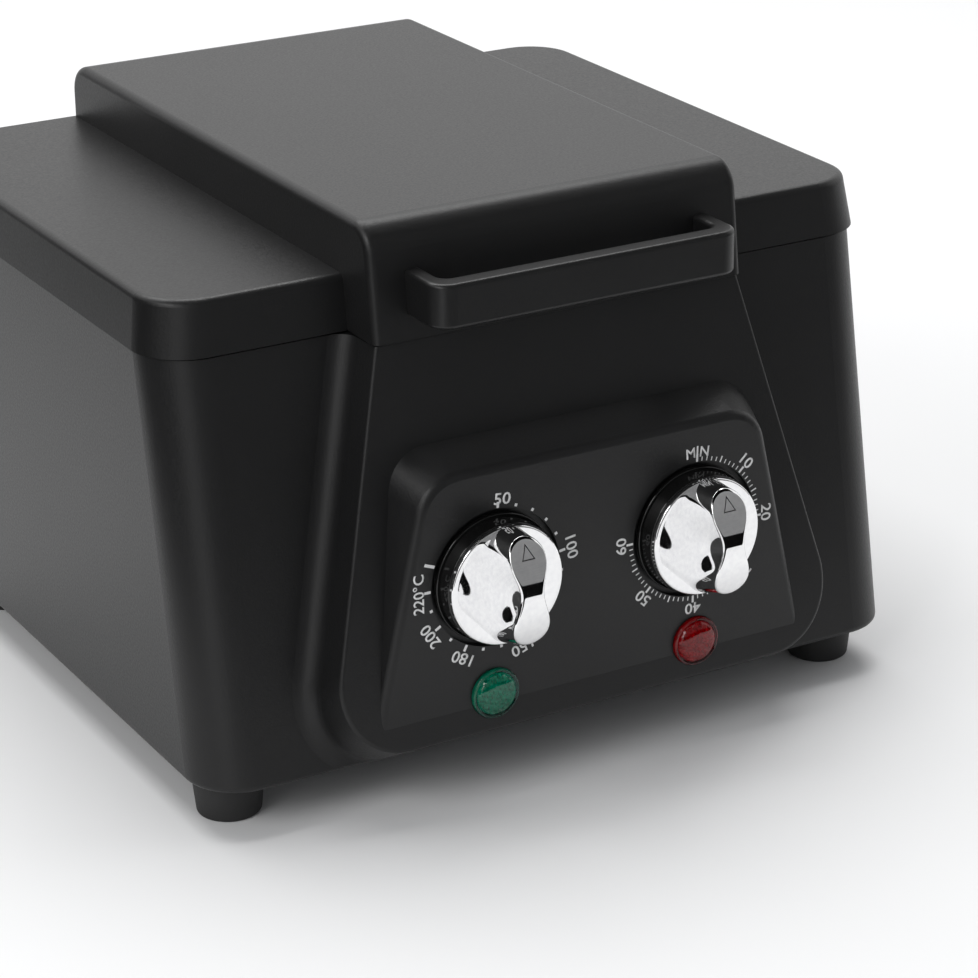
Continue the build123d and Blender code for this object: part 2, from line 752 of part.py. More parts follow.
# Feet and their screws
plan_gap = wall + plate_gap
plate_front = front_at(plate_top) + wall / cos(lean) + plate_gap
plate_length = rear - plan_gap - plate_front
plate = Pos(0, plate_front + plate_length / 2, base_height) * extrude(
    RectangleRounded(body_width - 2 * plan_gap, plate_length, body_corner - plan_gap), plate_thickness
)
vents = GridLocations(slot_pitch, slot_length + slot_row_gap, slot_count, 2)
vent_pattern = Sketch() + vents * SlotOverall(slot_length, slot_width, rotation=90)
plate -= Pos(0, 0, base_height - 1) * extrude(vent_pattern, plate_thickness + 2)
foot_counterbore = base_height * 0.5
feet = []
foot_screws = []
for name, x, y in foot_places:
    foot = Pos(x, y, base_height / 2) * Cone(foot_bottom_diameter / 2, foot_top_diameter / 2, base_height)
    foot = fillet(foot.faces().sort_by(Axis.Z)[0].edges(), 1)
    foot -= Pos(x, y, -1) * extrude(Circle(screw_head / 2 + fit_loose), foot_counterbore + 1)
    foot -= Pos(x, y, -1) * extrude(Circle(screw_diameter / 2 + fit_close), base_height + 2)
    plate -= Pos(x, y, base_height - 1) * extrude(Circle(screw_diameter / 2 + fit_close), 6)
    feet.append(("foot_" + name, foot))
    head_bottom = foot_counterbore - screw_head_thickness
    screw = Pos(x, y, head_bottom) * extrude(Circle(screw_head / 2), screw_head_thickness)
    screw += Pos(x, y, foot_counterbore) * extrude(
        Circle(screw_diameter / 2), plate_top + boss_height * 0.6 - foot_counterbore
    )
    foot_screws.append(("foot_screw_" + name, screw))

# Screws of the liner
liner_screws = []
for name, x, y in liner_places:
    screw = Pos(x, y, liner_bottom - 1) * extrude(Circle(liner_screw_head / 2), 1)
    screw += Pos(x, y, liner_bottom) * extrude(Circle(liner_screw / 2), lid_rise / 2)
    liner_screws.append(("liner_screw_" + name, screw))

# Mains inlet on the rear wall
inlet = rear_box(inlet_x, inlet_height, inlet_flange_width, inlet_flange_height, 0, inlet_flange_thickness, 4)
inlet += rear_box(
    inlet_x, inlet_height, inlet_body_width, inlet_body_height, -inlet_body_depth, inlet_body_depth + 1, 2
)
inlet -= rear_box(
    inlet_x, inlet_height, socket_width, socket_height,
    inlet_flange_thickness - socket_depth, socket_depth + 1, 2.5,
)
inlet_screws = []
for name, x in inlet_screw_places:
    inlet -= rear_disc(x, inlet_height, inlet_screw + 2 * fit_close, -1, 2 * inlet_flange_thickness)
    screw = rear_disc(x, inlet_height, inlet_screw, -2 * wall, 2 * wall + inlet_flange_thickness)
    screw += rear_disc(x, inlet_height, inlet_screw_head, inlet_flange_thickness, inlet_screw / 2)
    inlet_screws.append(("inlet_screw_" + name, screw))
pin_front = inlet_flange_thickness - 1.5
pins = []
pin_places = [
    ("line", pin_spread / 2, -pin_drop),
    ("neutral", -pin_spread / 2, -pin_drop),
    ("earth", 0, pin_drop),
]
for name, dx, dz in pin_places:
    x = inlet_x + dx
    back = -inlet_body_depth - pin_tail
    inlet -= rear_box(x, inlet_height + dz, pin_thickness + 0.1, pin_width + 0.1, back, -back, 0.5)
    pins.append(("inlet_pin_" + name, rear_box(
        x, inlet_height + dz, pin_thickness, pin_width, back, pin_front - back, 0.5
    )))

# Hinge pins, held in the ears of the brackets
hinge_pins = [("hinge_pin_" + name, hinge_hole(x, bracket_width, hinge_pin)) for name, x in hinge_places]

nodes = [
    ("housing", housing),
    ("bottom_plate", plate),
    ("chamber", chamber),
    ("heat_shield", shield),
    ("heater_plate", heater),
    ("tray", tray),
    ("thermostat", thermostat),
    ("timer", timer),
    ("lamp_lens_green", lens(lamp_places[0])),
    ("lamp_lens_red", lens(lamp_places[1])),
    ("lamp_holder_green", lamp_holder(lamp_places[0])),
    ("lamp_holder_red", lamp_holder(lamp_places[1])),
    ("inlet_body", inlet),
    ("lid_shell", lid),
    ("lid_liner", liner),
    ("lid_seal", seal),
    ("handle", handle),
    ("temperature_cap", at_dial(dial_places[0], cap)),
    ("temperature_skirt", at_dial(dial_places[0], skirt)),
    ("temperature_shaft", at_dial(dial_places[0], shaft)),
    ("timer_cap", at_dial(dial_places[1], cap)),
    ("timer_skirt", at_dial(dial_places[1], skirt)),
    ("timer_shaft", at_dial(dial_places[1], shaft)),
]
nodes += feet + foot_screws + handle_screws + liner_screws + inlet_screws + pins
nodes += brackets + bracket_screws + hinge_pins

# The outline seen from above runs from the front of the grips to the back of the ears
outline_front = pad_y - grip_stand
outline_back = hinge_y + hinge_radius
centre = Pos(0, -(outline_front + outline_back) / 2, 0)
for name, piece in nodes:
    export_step(centre * piece, "parts/" + name + ".step")
print("origin is", round((outline_front + outline_back) / 2, 3), "mm behind the middle of the seam")
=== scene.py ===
import json
from math import cos, pi, radians, sin, sqrt
import bmesh
import bpy
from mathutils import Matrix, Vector


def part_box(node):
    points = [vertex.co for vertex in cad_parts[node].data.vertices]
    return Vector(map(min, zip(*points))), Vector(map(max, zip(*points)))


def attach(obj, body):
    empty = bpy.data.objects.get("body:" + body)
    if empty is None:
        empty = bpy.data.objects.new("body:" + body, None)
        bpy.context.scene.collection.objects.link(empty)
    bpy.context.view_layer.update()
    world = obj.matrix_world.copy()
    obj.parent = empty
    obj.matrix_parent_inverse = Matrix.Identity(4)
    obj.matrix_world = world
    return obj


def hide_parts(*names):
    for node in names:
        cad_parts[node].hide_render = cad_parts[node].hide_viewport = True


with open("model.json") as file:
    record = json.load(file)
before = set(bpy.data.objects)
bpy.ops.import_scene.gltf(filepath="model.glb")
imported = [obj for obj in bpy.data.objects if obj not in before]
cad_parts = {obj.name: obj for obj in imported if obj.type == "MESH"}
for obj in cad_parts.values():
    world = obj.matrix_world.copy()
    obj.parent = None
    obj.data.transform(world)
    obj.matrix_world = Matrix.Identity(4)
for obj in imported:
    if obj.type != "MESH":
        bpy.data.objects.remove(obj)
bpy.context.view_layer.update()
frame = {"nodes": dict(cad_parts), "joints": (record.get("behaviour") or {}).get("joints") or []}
nodes = frame["nodes"]
mm = 0.001
scene = bpy.context.scene
print("frame loaded with", len(nodes), "nodes")

# Materials

noiseSpan = (0.3, 0.7)  # the stretch of a noise that is spread over the values
surface = {
    "mould": {"cloud": 26, "duller": 0.07, "brighter": 0.05, "ior": 1.5, "specular": 0.38},
    "polish": {"cloud": 60, "duller": 0.05, "ior": 1.52},
    "plating": {"cloud": 90, "fine": 700, "duller": 0.03},
    "brushed": {"stretch": 0.02, "duller": 0.1, "brighter": 0.06, "lineDepth": 0.00002, "strength": 0.5},
    "cast": {"vary": 0.08, "strength": 0.8},
    "tint": {"cloud": 300, "duller": 0.04, "ior": 1.49},
    "ink": {"grain": 4000, "shine": 0.55, "specular": 0.3},
}


def newMaterial(name):
    mat = bpy.data.materials.new(name)
    mat.use_nodes = True
    tree = mat.node_tree
    return mat, tree, tree.nodes["Principled BSDF"]


def addNode(tree, kind, **values):
    node = tree.nodes.new(kind)
    for key, value in values.items():
        if hasattr(node, key):
            setattr(node, key, value)
        else:
            node.inputs[key].default_value = value
    return node


def objectNoise(tree, scale, detail=2.0, roughness=0.5):
    place = addNode(tree, "ShaderNodeTexCoord")
    noise = addNode(tree, "ShaderNodeTexNoise", Scale=scale, Detail=detail, Roughness=roughness)
    tree.links.new(place.outputs["Object"], noise.inputs["Vector"])
    return noise


def coloured(tree, bsdf, noise, dark, light):
    ramp = addNode(tree, "ShaderNodeValToRGB")
    for element, position, colour in zip(ramp.color_ramp.elements, noiseSpan, (dark, light)):
        element.position = position
        element.color = (*colour, 1)
    tree.links.new(noise.outputs["Fac"], ramp.inputs["Fac"])
    tree.links.new(ramp.outputs["Color"], bsdf.inputs["Base Color"])


def roughened(tree, bsdf, noise, low, high):
    ramp = addNode(tree, "ShaderNodeMapRange")
    for key, value in zip(("From Min", "From Max", "To Min", "To Max"), (*noiseSpan, low, high)):
        ramp.inputs[key].default_value = value
    tree.links.new(noise.outputs["Fac"], ramp.inputs["Value"])
    tree.links.new(ramp.outputs["Result"], bsdf.inputs["Roughness"])


def bumped(tree, bsdf, noise, depth, strength=1.0):
    bump = addNode(tree, "ShaderNodeBump", Strength=strength, Distance=depth)
    tree.links.new(noise.outputs["Fac"], bump.inputs["Height"])
    tree.links.new(bump.outputs["Normal"], bsdf.inputs["Normal"])


def mouldedPlastic(name, dark, light, shine, grain, grainDepth):
    # spark-eroded mould texture: a fine grain over a soft unevenness
    mat, tree, bsdf = newMaterial(name)
    form = surface["mould"]
    wide = objectNoise(tree, form["cloud"], 3)
    fine = objectNoise(tree, grain, 3, 0.6)
    coloured(tree, bsdf, wide, dark, light)
    roughened(tree, bsdf, fine, shine - form["brighter"], shine + form["duller"])
    bsdf.inputs["IOR"].default_value = form["ior"]
    bsdf.inputs["Specular IOR Level"].default_value = form["specular"]
    bumped(tree, bsdf, fine, grainDepth)
    return mat


def polishedPlastic(name, dark, light, shine):
    mat, tree, bsdf = newMaterial(name)
    form = surface["polish"]
    wide = objectNoise(tree, form["cloud"])
    coloured(tree, bsdf, wide, dark, light)
    roughened(tree, bsdf, wide, shine, shine + form["duller"])
    bsdf.inputs["IOR"].default_value = form["ior"]
    return mat


def plating(name, dark, light, shine, ripple):
    # electroplated moulding: mirror bright, with the faint ripple of the part below
    mat, tree, bsdf = newMaterial(name)
    form = surface["plating"]
    wide = objectNoise(tree, form["cloud"])
    fine = objectNoise(tree, form["fine"])
    bsdf.inputs["Metallic"].default_value = 1.0
    coloured(tree, bsdf, fine, dark, light)
    roughened(tree, bsdf, fine, shine, shine + form["duller"])
    bumped(tree, bsdf, wide, ripple)
    return mat


def brushedMetal(name, dark, light, shine, lines, along):
    # noise drawn out into lines along one axis
    mat, tree, bsdf = newMaterial(name)
    form = surface["brushed"]
    place = addNode(tree, "ShaderNodeTexCoord")
    turn = addNode(tree, "ShaderNodeMapping")
    turn.inputs["Scale"].default_value = [form["stretch"] if axis == along else 1.0 for axis in "xyz"]
    tree.links.new(place.outputs["Object"], turn.inputs["Vector"])
    fine = addNode(tree, "ShaderNodeTexNoise", Scale=lines, Detail=3.0)
    tree.links.new(turn.outputs["Vector"], fine.inputs["Vector"])
    bsdf.inputs["Metallic"].default_value = 1.0
    coloured(tree, bsdf, fine, dark, light)
    roughened(tree, bsdf, fine, shine - form["brighter"], shine + form["duller"])
    bumped(tree, bsdf, fine, form["lineDepth"], form["strength"])
    return mat


def castMatt(name, dark, light, shine, grain, grainDepth):
    mat, tree, bsdf = newMaterial(name)
    form = surface["cast"]
    fine = objectNoise(tree, grain, 4, 0.6)
    coloured(tree, bsdf, fine, dark, light)
    roughened(tree, bsdf, fine, shine - form["vary"], shine + form["vary"])
    bumped(tree, bsdf, fine, grainDepth, form["strength"])
    return mat


def lampTint(name, dark, light, clear, shine):
    mat, tree, bsdf = newMaterial(name)
    form = surface["tint"]
    wide = objectNoise(tree, form["cloud"])
    coloured(tree, bsdf, wide, dark, light)
    roughened(tree, bsdf, wide, shine, shine + form["duller"])
    bsdf.inputs["Transmission Weight"].default_value = clear
    bsdf.inputs["IOR"].default_value = form["ior"]
    return mat


def printInk(name, dark, light):
    mat, tree, bsdf = newMaterial(name)
    form = surface["ink"]
    coloured(tree, bsdf, objectNoise(tree, form["grain"]), dark, light)
    bsdf.inputs["Roughness"].default_value = form["shine"]
    bsdf.inputs["Specular IOR Level"].default_value = form["specular"]
    return mat


# each finish: material name, dark tone, light tone, then what its own function asks for
finish = {
    "housing": mouldedPlastic(
        "housingGrain", (0.007, 0.007, 0.0073), (0.009, 0.009, 0.0093), 0.38, 1500, 0.00005),
    "lid": mouldedPlastic(
        "lidGrain", (0.006, 0.006, 0.0062), (0.008, 0.008, 0.0082), 0.38, 1500, 0.00004),
    "handle": mouldedPlastic(
        "handleGrain", (0.006, 0.006, 0.0062), (0.008, 0.008, 0.0082), 0.34, 1700, 0.00003),
    "skirt": polishedPlastic("skirtGloss", (0.004, 0.004, 0.004), (0.007, 0.007, 0.007), 0.06),
    "chrome": plating("capChrome", (0.86, 0.86, 0.87), (0.93, 0.93, 0.93), 0.02, 0.00001),
    "stainless": brushedMetal("tankSteel", (0.50, 0.50, 0.49), (0.66, 0.66, 0.65), 0.28, 1800, "x"),
    "shield": brushedMetal("shieldSteel", (0.42, 0.42, 0.41), (0.55, 0.55, 0.54), 0.38, 900, "z"),
    "plate": castMatt("platePaint", (0.016, 0.016, 0.016), (0.024, 0.024, 0.024), 0.5, 900, 0.00004),
    "heater": castMatt("heaterCeramic", (0.62, 0.58, 0.50), (0.74, 0.70, 0.62), 0.8, 500, 0.00006),
    "control": castMatt("controlMoulding", (0.60, 0.56, 0.47), (0.68, 0.64, 0.55), 0.6, 700, 0.00002),
    "holder": castMatt("holderMoulding", (0.68, 0.68, 0.65), (0.76, 0.76, 0.73), 0.55, 700, 0.00002),
    "inlet": castMatt("inletMoulding", (0.012, 0.012, 0.012), (0.02, 0.02, 0.02), 0.5, 1200, 0.00003),
    "brass": brushedMetal("pinBrass", (0.62, 0.44, 0.18), (0.74, 0.56, 0.26), 0.22, 2500, "y"),
    "screw": plating("screwZinc", (0.55, 0.56, 0.57), (0.66, 0.67, 0.68), 0.26, 0.00001),
    "rubber": castMatt("footRubber", (0.012, 0.012, 0.012), (0.020, 0.020, 0.020), 0.66, 1300, 0.00006),
    "seal": castMatt("sealSilicone", (0.42, 0.10, 0.06), (0.52, 0.15, 0.09), 0.6, 900, 0.00003),
    "shaft": brushedMetal("shaftSteel", (0.50, 0.50, 0.50), (0.64, 0.64, 0.64), 0.26, 2500, "y"),
    "bracket": castMatt("bracketCoat", (0.014, 0.014, 0.015), (0.022, 0.022, 0.023), 0.42, 1000, 0.00005),
    "ink": printInk("dialInk", (0.70, 0.70, 0.70), (0.80, 0.80, 0.80)),
    "mark": printInk("markInk", (0.012, 0.012, 0.012), (0.02, 0.02, 0.02)),
    "greenDome": lampTint("greenDome", (0.07, 0.80, 0.60), (0.10, 0.86, 0.66), 1.0, 0.03),
    "redDome": lampTint("redDome", (0.85, 0.03, 0.06), (0.92, 0.05, 0.09), 1.0, 0.03),
    "greenPrism": lampTint("greenPrism", (0.0, 0.36, 0.26), (0.0, 0.46, 0.34), 0.2, 0.12),
    "redPrism": lampTint("redPrism", (0.50, 0.0, 0.02), (0.62, 0.006, 0.03), 0.2, 0.12),
}

nodeFinish = {
    "housing": "housing", "bottom_plate": "plate", "chamber": "stainless", "heat_shield": "shield",
    "heater_plate": "heater", "tray": "stainless", "thermostat": "control", "timer": "control",
    "lamp_holder_green": "holder", "lamp_holder_red": "holder", "inlet_body": "inlet",
    "lid_shell": "lid", "lid_liner": "stainless", "lid_seal": "seal", "handle": "handle",
    "temperature_cap": "chrome", "timer_cap": "chrome", "temperature_skirt": "skirt",
    "timer_skirt": "skirt", "temperature_shaft": "shaft", "timer_shaft": "shaft",
    "lamp_lens_green": "greenDome", "lamp_lens_red": "redDome",
}
startFinish = {
    "foot_screw": "screw", "liner_screw": "screw", "handle_screw": "screw", "inlet_screw": "screw",
    "bracket_screw": "screw", "inlet_pin": "brass", "hinge_pin": "shaft",
    "hinge_bracket": "bracket", "foot_front": "rubber", "foot_rear": "rubber",
}


def finishOf(name):
    if name in nodeFinish:
        return finish[nodeFinish[name]]
    return finish[next(choice for start, choice in startFinish.items() if name.startswith(start))]


for name, node in nodes.items():
    for slot in node.material_slots:
        slot.material = finishOf(name)
print("materials made:", len(finish))

# Shared mesh helpers

meshCare = {"weld": 1e-7, "shortest": 1e-8}  # metres: points merged, edges dissolved


def plainMesh(name, points, faces=()):
    mesh = bpy.data.meshes.new(name)
    mesh.from_pydata([tuple(p) for p in points], [], faces)
    return mesh


def cleaned(mesh, material):
    work = bmesh.new()
    work.from_mesh(mesh)
    bmesh.ops.remove_doubles(work, verts=work.verts, dist=meshCare["weld"])
    bmesh.ops.dissolve_degenerate(work, edges=work.edges, dist=meshCare["shortest"])
    bmesh.ops.recalc_face_normals(work, faces=work.faces)
    work.to_mesh(mesh)
    work.free()
    mesh.materials.clear()
    mesh.materials.append(material)
    return mesh


def joined(name, meshes, material):
    work = bmesh.new()
    for mesh in meshes:
        work.from_mesh(mesh)
        bpy.data.meshes.remove(mesh)
    whole = bpy.data.meshes.new(name)
    work.to_mesh(whole)
    work.free()
    whole.materials.append(material)
    return whole


def placed(name, mesh, smoothAngle=None):
    # puts a mesh in the scene as an object at the origin
    if smoothAngle is not None:
        mesh.shade_smooth()
        mesh.set_sharp_from_angle(angle=radians(smoothAngle))
    obj = bpy.data.objects.new(name, mesh)
    scene.collection.objects.link(obj)
    return obj


def padPoint(centre, right, up, out):
    # from a knob's own directions, seen from the front, to the frame
    return Vector((centre[0] + right * mm, centre[1] - out * mm, centre[2] + up * mm))


def bandFaces(rows, steps):
    # quads between each ring of points and the next
    faces = []
    for row in range(rows - 1):
        for i in range(steps):
            a, b = row * steps + i, row * steps + (i + 1) % steps
            faces.append((a, b, b + steps, a + steps))
    return faces


def lathe(centre, profile, steps):
    # profile: (radius, how far out of the pad), closed on the axis at both ends
    points = []
    for radius, out in profile:
        for i in range(steps):
            turn = 2 * pi * i / steps
            points.append(padPoint(centre, radius * sin(turn), radius * cos(turn), out))
    return points, bandFaces(len(profile), steps)


def arc(centreRadius, centreOut, radius, first, last, steps):
    turns = [radians(first + (last - first) * i / steps) for i in range(steps + 1)]
    return [(centreRadius + radius * cos(turn), centreOut + radius * sin(turn)) for turn in turns]


jointPlace = {joint["name"]: joint["pos_m"] for joint in frame["joints"]}
dialCentre = {side: Vector(jointPlace[side + "_knob_turn"]) for side in ("temperature", "timer")}

# Knobs

capForm = {
    "radius": 17.0, "foot": 4.9, "seat": 2.9, "neck": 15.8, "rimTop": 6.4, "rimRound": 0.55, "dish": 0.8,
    "bevel": 0.1, "gripLift": 0.1, "stand": 20.0, "crown": 30.0, "crownDrop": 1.0, "edge": 0.75,
    "footHead": 6.2, "footTail": 6.0, "faceHead": 5.5, "faceWaist": 3.5, "faceTail": 5.5,
    "headEnd": 17.0, "tailFootEnd": 16.9, "tailFaceEnd": 13.0,
    "perSide": 40, "levels": 14, "edgeSteps": 5, "rings": 9, "dishSteps": 14, "turns": 128, "smooth": 38,
}


def crownAt(form, up):
    return form["stand"] - form["crown"] + sqrt(form["crown"] ** 2 - (up + form["crownDrop"]) ** 2)


def sideHalf(part, start, waist, end):
    # half width along a side that is drawn in to the waist at its middle
    near, along = (start, part) if part < 0.5 else (end, 1 - part)
    return near + (waist - near) * (1 - cos(2 * pi * along)) / 2


def gripOutline(form, head, waist, tail, tailEnd):
    # one turn round the grip, clockwise from the left end of the head
    headUp, tailUp = form["headEnd"] - head, tail - tailEnd
    parts = [i / form["perSide"] for i in range(form["perSide"])]
    outline = [(-head * cos(pi * part), headUp + head * sin(pi * part)) for part in parts]
    outline += [(sideHalf(part, head, waist, tail), headUp + (tailUp - headUp) * part) for part in parts]
    outline += [(tail * cos(pi * part), tailUp - tail * sin(pi * part)) for part in parts]
    outline += [(-sideHalf(part, tail, waist, head), tailUp + (headUp - tailUp) * part) for part in parts]
    return outline


def nearSpine(form, up):
    # nearest height on the line between the middles of the two round ends of the face
    return min(max(up, form["faceTail"] - form["tailFaceEnd"]), form["headEnd"] - form["faceHead"])


def sideRings(form, foot, face):
    # leaning sides, from the foot outline out to the face outline
    low = form["foot"] + form["gripLift"]
    rings = []
    for level in range(form["levels"] + 1):
        part = level / form["levels"]
        ring = []
        for (footX, footY), (faceX, faceY) in zip(foot, face):
            out = low + (crownAt(form, faceY) - form["edge"] - low) * part
            ring.append((footX + (faceX - footX) * part, footY + (faceY - footY) * part, out))
        rings.append(ring)
    return rings


def edgeRings(form, face):
    # rounding between the sides and the crowned face
    rings = []
    for step in range(1, form["edgeSteps"] + 1):
        turn = pi / 2 * step / form["edgeSteps"]
        inset, rise = form["edge"] * (1 - cos(turn)), form["edge"] * sin(turn)
        ring = []
        for x, y in face:
            spine = nearSpine(form, y)
            reach = sqrt(x * x + (y - spine) ** 2)
            keep = (reach - inset) / reach
            newY = spine + (y - spine) * keep
            ring.append((x * keep, newY, crownAt(form, newY) - form["edge"] + rise))
        rings.append(ring)
    return rings


def faceRings(form, edge):
    # the crowned face, drawn in to its middle line
    rings = []
    for step in range(1, form["rings"] + 1):
        keep = 1 - step / form["rings"]
        ring = []
        for x, y, _ in edge:
            spine = nearSpine(form, y)
            newY = spine + (y - spine) * keep
            ring.append((x * keep, newY, crownAt(form, newY)))
        rings.append(ring)
    return rings


def gripShell(form, centre):
    straight = (form["footHead"] + form["footTail"]) / 2
    foot = gripOutline(form, form["footHead"], straight, form["footTail"], form["tailFootEnd"])
    face = gripOutline(form, form["faceHead"], form["faceWaist"], form["faceTail"], form["tailFaceEnd"])
    rings = sideRings(form, foot, face) + edgeRings(form, face)
    rings += faceRings(form, rings[-1])
    points = [padPoint(centre, *point) for ring in rings for point in ring]
    count = len(foot)
    return points, [tuple(reversed(range(count)))] + bandFaces(len(rings), count)


def capDisc(form, centre):
    radius, top, rimRound = form["radius"], form["rimTop"], form["rimRound"]
    profile = [(0, form["seat"]), (form["neck"], form["seat"]), (form["neck"], form["foot"])]
    profile += [(radius - form["bevel"], form["foot"]), (radius, form["foot"] + form["bevel"])]
    profile += arc(radius - rimRound, top - rimRound, rimRound, 0, 80, 8)
    for i in range(1, form["dishSteps"] + 1):
        part = i / form["dishSteps"]
        profile.append(((radius - rimRound) * (1 - part), top - form["dish"] * (1 - (1 - part) ** 2)))
    return lathe(centre, profile, form["turns"])


def makeCap(side, body):
    points, faces = gripShell(capForm, dialCentre[side])
    discPoints, discFaces = capDisc(capForm, dialCentre[side])
    faces += [tuple(len(points) + i for i in face) for face in discFaces]
    name = side + "_cap_plated"
    mesh = cleaned(plainMesh(name, points + discPoints, faces), finish["chrome"])
    cap = placed(name, mesh, capForm["smooth"])
    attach(cap, body)
    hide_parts(side + "_cap")


skirtForm = {
    "back": -1.7, "foot": 18.3, "bevel": 0.3, "footRound": 0.4, "step": -0.1, "front": 17.2, "swell": 0.05,
    "stand": 4.8, "edge": 0.5, "inner": 15.9, "seat": 2.9, "turns": 128, "smooth": 50,
}


def makeSkirt(side, body):
    form = skirtForm
    profile = [(0, form["back"]), (form["foot"] - form["bevel"], form["back"])]
    profile += [(form["foot"], form["back"] + form["bevel"])]
    profile += arc(form["foot"] - form["footRound"], form["step"], form["footRound"], 0, 70, 5)
    edgeMiddle = form["front"] - form["edge"] + form["swell"]
    profile += arc(edgeMiddle, form["stand"] - form["edge"], form["edge"], 12, 90, 7)
    profile += [(form["inner"], form["stand"]), (form["inner"], form["seat"]), (0, form["seat"])]
    name = side + "_skirt_gloss"
    mesh = cleaned(plainMesh(name, *lathe(dialCentre[side], profile, form["turns"])), finish["skirt"])
    skirt = placed(name, mesh, form["smooth"])
    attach(skirt, body)
    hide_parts(side + "_skirt")


markForm = {
    "tip": 15.4, "base": 11.4, "half": 2.0, "line": 0.32, "inset": 2.6, "lift": 0.03, "deep": 0.12, "split": 6,
}


def markLoop(centre, corners, lift):
    # a triangle laid on the crown, each side in short steps
    points, split = [], markForm["split"]
    for i in range(3):
        (ax, ay), (bx, by) = corners[i], corners[(i + 1) % 3]
        for step in range(split):
            part = step / split
            x, y = ax + (bx - ax) * part, ay + (by - ay) * part
            points.append(padPoint(centre, x, y, crownAt(capForm, y) + lift))
    return points


def makeMark(side, body):
    # outlined triangle at the head of the grip
    form, centre = markForm, dialCentre[side]
    outer = [(0, form["tip"]), (form["half"], form["base"]), (-form["half"], form["base"])]
    middleUp = (form["tip"] + 2 * form["base"]) / 3
    shrink = 1 - form["line"] * form["inset"] / (form["tip"] - form["base"])
    inner = [(x * shrink, middleUp + (y - middleUp) * shrink) for x, y in outer]
    points = []
    for lift in (form["lift"], -form["deep"]):
        for loop in (outer, inner):
            points += markLoop(centre, loop, lift)
    count = 3 * form["split"]
    faces = []
    for i in range(count):
        j = (i + 1) % count
        faces.append((i, j, count + j, count + i))
        faces.append((2 * count + i, 2 * count + j, 3 * count + j, 3 * count + i))
        faces.append((i, j, 2 * count + j, 2 * count + i))
        faces.append((count + i, count + j, 3 * count + j, 3 * count + i))
    name = side + "_mark"
    mark = placed(name, cleaned(plainMesh(name, points, faces), finish["mark"]))
    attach(mark, body)


for side, body in (("temperature", "temperature_knob"), ("timer", "timer_knob")):
    makeCap(side, body)
    makeSkirt(side, body)
    makeMark(side, body)
print("knobs made")

# Geometry node helpers


def nodeGroup(name, sockets):
    tree = bpy.data.node_groups.new(name, "GeometryNodeTree")
    tree.interface.new_socket(name="Geometry", in_out="INPUT", socket_type="NodeSocketGeometry")
    keys = {}
    for label, kind in sockets:
        socket = tree.interface.new_socket(name=label, in_out="INPUT", socket_type="NodeSocket" + kind)
        keys[label] = socket.identifier
    tree.interface.new_socket(name="Geometry", in_out="OUTPUT", socket_type="NodeSocketGeometry")
    return tree, keys


def fed(tree, node, values):
    for slot, value in zip(node.inputs, values):
        if hasattr(value, "is_output"):
            tree.links.new(value, slot)
        else:
            slot.default_value = value
    return node.outputs[0]


def maths(tree, operation, *values):
    node = tree.nodes.new("ShaderNodeMath")
    node.operation = operation
    return fed(tree, node, values)


def vectorOf(tree, *values):
    return fed(tree, tree.nodes.new("ShaderNodeCombineXYZ"), values)


def linked(tree, kind, output, **sources):
    # a node with links into its named inputs, given back as one of its outputs
    node = tree.nodes.new(kind)
    for label, source in sources.items():
        tree.links.new(source, node.inputs[label])
    return node.outputs[output]


def closeTree(tree, geometry, material):
    real = linked(tree, "GeometryNodeRealizeInstances", "Geometry", Geometry=geometry)
    paint = tree.nodes.new("GeometryNodeSetMaterial")
    out = tree.nodes.new("NodeGroupOutput")
    paint.inputs["Material"].default_value = material
    tree.links.new(real, paint.inputs["Geometry"])
    tree.links.new(paint.outputs["Geometry"], out.inputs["Geometry"])


def grown(name, seats, tree, keys, values):
    # runs the tree on a mesh of loose points and returns the result as a plain mesh
    host = plainMesh("seats", seats)
    holder = bpy.data.objects.new(name + "_grower", host)
    scene.collection.objects.link(holder)
    modifier = holder.modifiers.new("grow", "NODES")
    modifier.node_group = tree
    for label, value in values.items():
        modifier[keys[label]] = value
    graph = bpy.context.evaluated_depsgraph_get()
    mesh = bpy.data.meshes.new_from_object(holder.evaluated_get(graph))
    holder.modifiers.remove(modifier)
    bpy.data.objects.remove(holder)
    bpy.data.meshes.remove(host)
    return mesh


# Dial print

longTick = {"count": 1, "step": 0.0, "radius": 19.95, "length": 1.9, "width": 0.75, "thick": 0.04}
tickRings = {
    "temperature": [
        {**longTick, "count": 18, "first": 2.0, "step": 15.8, "radius": 20.15,
         "length": 0.85, "width": 0.8, "thick": 0.03},
        {**longTick, "first": 2.0, "length": 1.7},
        *({**longTick, "first": first} for first in (81.0, 160.0, 207.4, 239.0, 270.6)),
        {**longTick, "first": 291.0, "radius": 20.0, "length": 3.2, "width": 0.85},
    ],
    "timer": [
        {"count": 61, "first": 1.5, "step": 4.475, "radius": 20.05,
         "length": 1.2, "width": 0.3, "thick": 0.02},
        {"count": 13, "first": 1.5, "step": 22.375, "radius": 20.0,
         "length": 1.8, "width": 0.42, "thick": 0.03},
        {"count": 7, "first": 1.5, "step": 44.75, "radius": 20.0,
         "length": 2.1, "width": 0.65, "thick": 0.04},
        {**longTick, "first": 1.5, "length": 4.6, "width": 0.5, "thick": 0.045},
    ],
}


